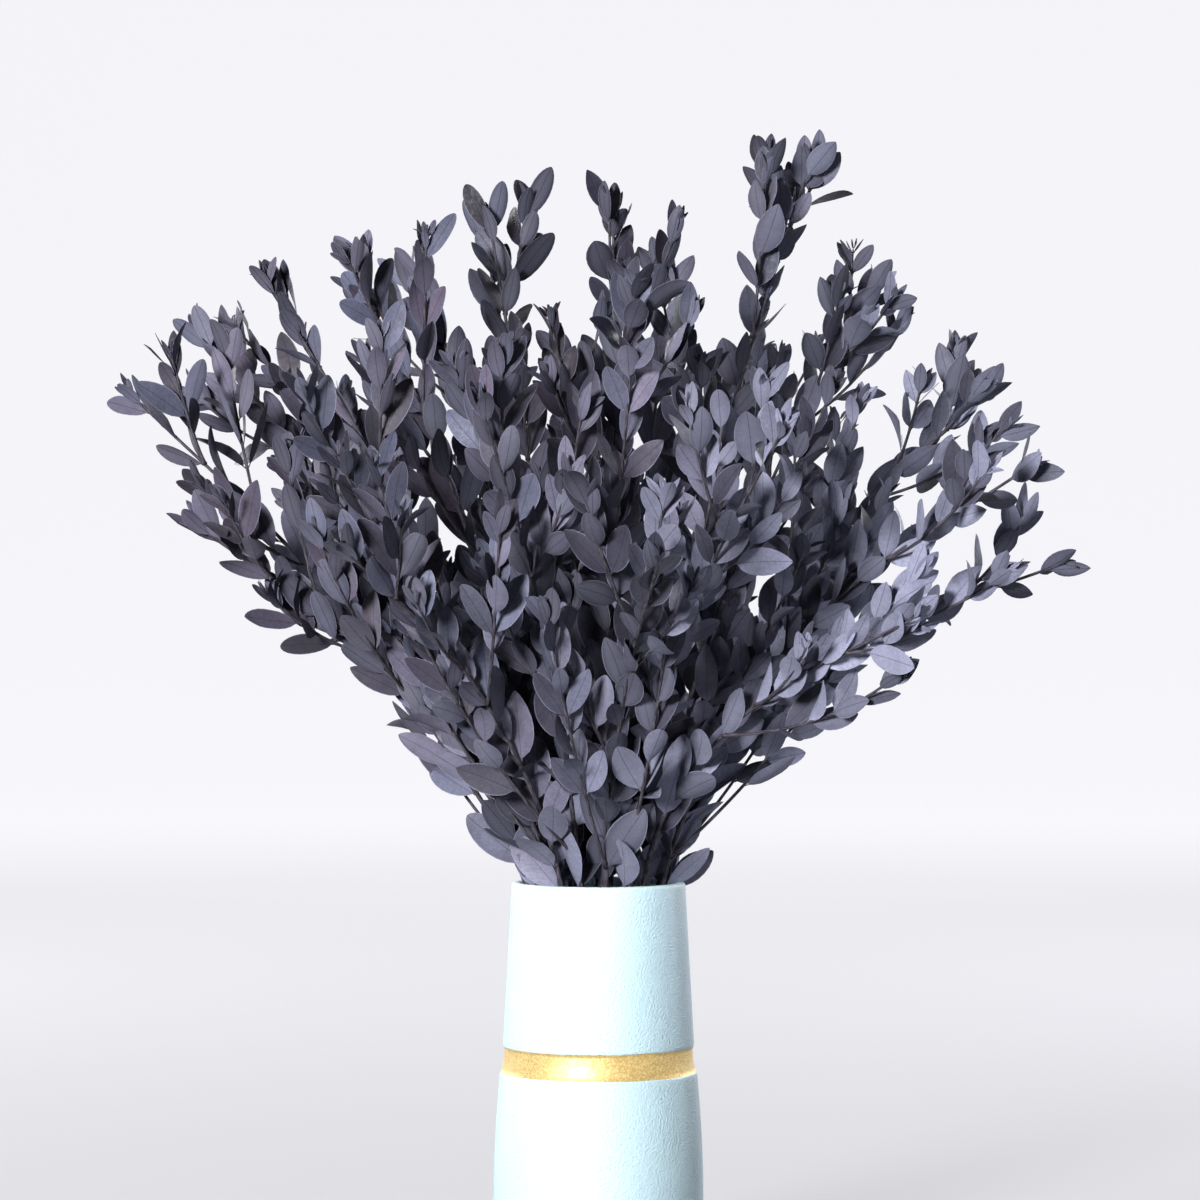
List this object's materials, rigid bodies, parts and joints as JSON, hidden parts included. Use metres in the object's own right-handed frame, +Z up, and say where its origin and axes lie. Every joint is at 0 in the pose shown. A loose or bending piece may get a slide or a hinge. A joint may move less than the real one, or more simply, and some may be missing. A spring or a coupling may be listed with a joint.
{
  "type": "dried eucalyptus in a vase",
  "caption": "Full bouquet of dyed, dried eucalyptus branches that fan out from a tall tapered ceramic vase with a shallow painted groove round its middle.",
  "frame": {"origin": "centre of the vase's foot, on the surface that it stands on", "axes": "+Z up along the vase, +X to the right and -Y towards the front of the bouquet"},
  "size_m": [0.6512, 0.586, 0.7501],
  "materials": {
    "vase": "satin glaze, pale sky blue, with a gold-painted groove",
    "foliage": "dried leaf and twig, dyed dark violet-grey, matt"
  },
  "bodies": {
    "root": {"vase": "vase", "leafy_stem_01": "foliage", "leafy_stem_02": "foliage", "leafy_stem_03": "foliage", "leafy_stem_04": "foliage", "leafy_stem_05": "foliage", "leafy_stem_06": "foliage", "leafy_stem_07": "foliage", "leafy_stem_08": "foliage", "leafy_stem_09": "foliage", "leafy_stem_10": "foliage", "leafy_stem_11": "foliage", "leafy_stem_12": "foliage", "leafy_stem_13": "foliage", "leafy_stem_14": "foliage", "leafy_stem_15": "foliage", "leafy_stem_16": "foliage", "leafy_stem_17": "foliage", "leafy_stem_18": "foliage", "leafy_stem_19": "foliage", "leafy_stem_20": "foliage", "leafy_stem_21": "foliage", "leafy_stem_22": "foliage", "leafy_stem_23": "foliage", "leafy_stem_24": "foliage", "leafy_stem_25": "foliage", "leafy_stem_26": "foliage"}
  },
  "joints": []
}
